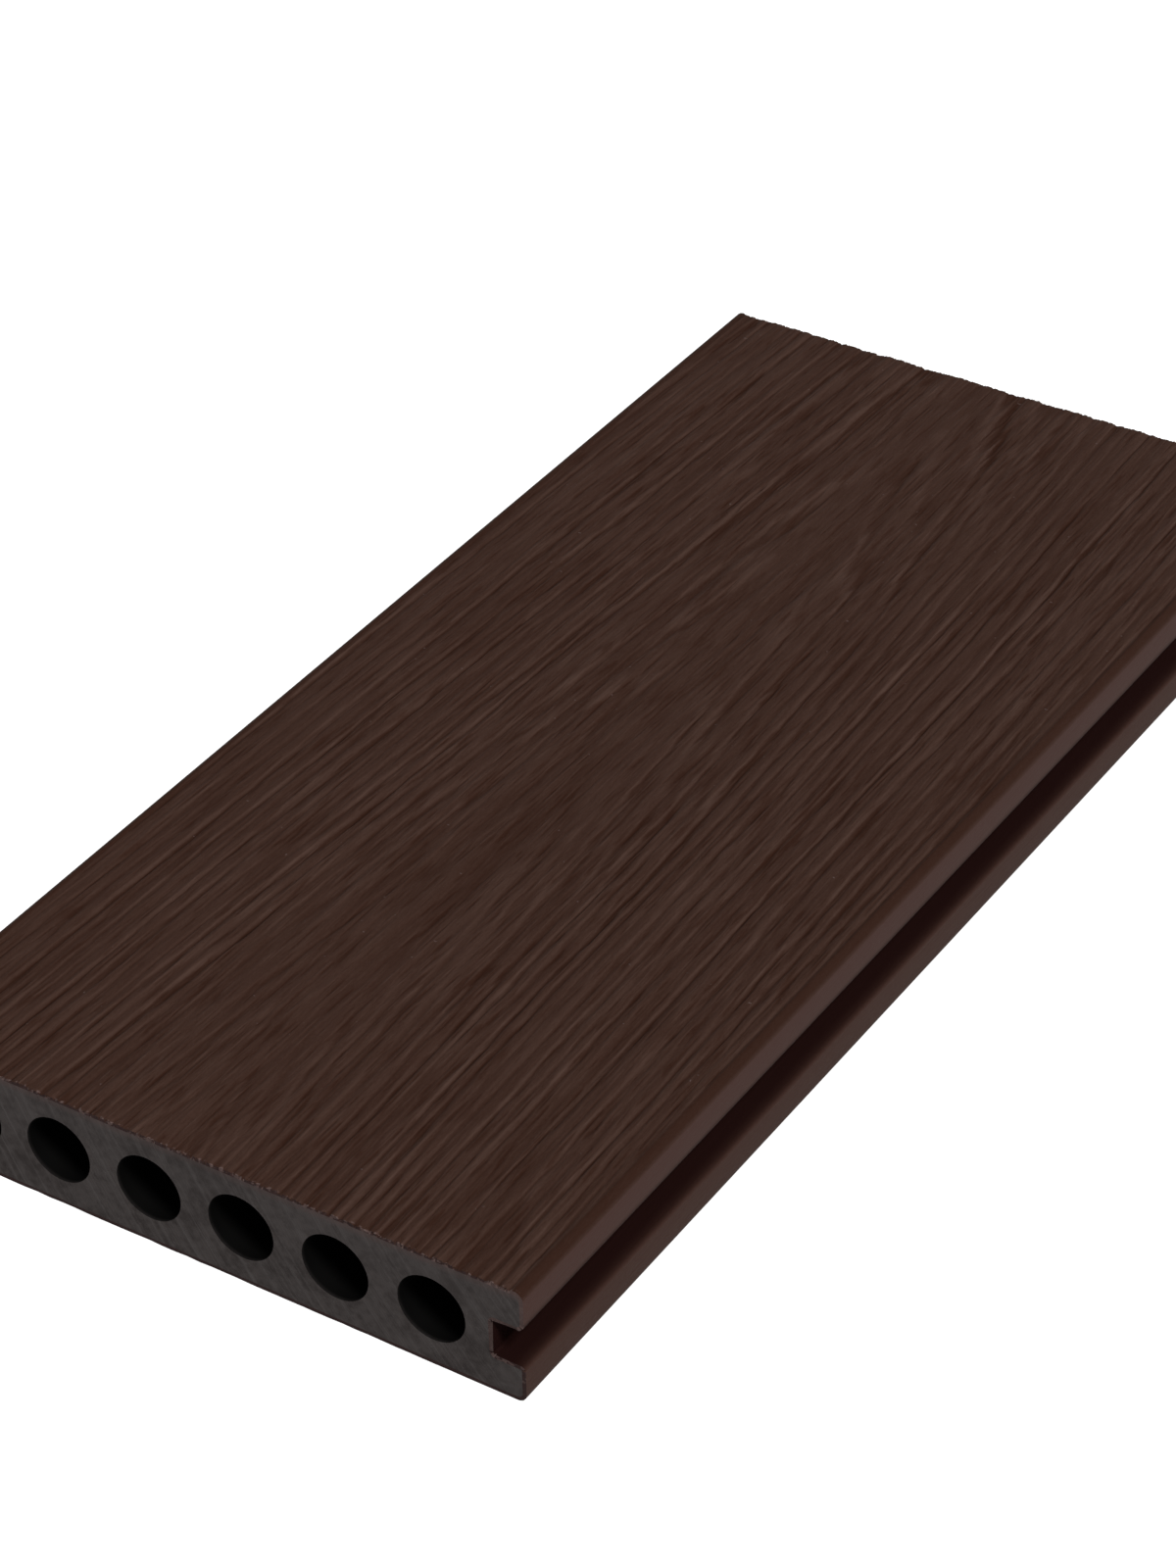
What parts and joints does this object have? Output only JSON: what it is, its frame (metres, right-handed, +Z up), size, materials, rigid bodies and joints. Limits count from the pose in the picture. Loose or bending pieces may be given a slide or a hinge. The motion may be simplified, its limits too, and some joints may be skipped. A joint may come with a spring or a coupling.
{
  "type": "composite decking board",
  "caption": "Hollow wood-plastic decking board with round lengthwise bores, a brown wood-grain cap over a grey core, and a clip groove along each long edge.",
  "frame": {"origin": "centre of the underside, midway between the two sawn ends", "axes": "+X across the width, +Y along the length, +Z up out of the grained face; the sawn end that the picture shows is the one at -Y"},
  "size_m": [0.14, 0.3, 0.025],
  "materials": {
    "core": "sawn grey wood-plastic composite, matt",
    "cap": "dark brown polymer cap with embossed wood grain on top, satin"
  },
  "bodies": {
    "root": {"grey_core": "core", "brown_cap": "cap"}
  },
  "joints": []
}
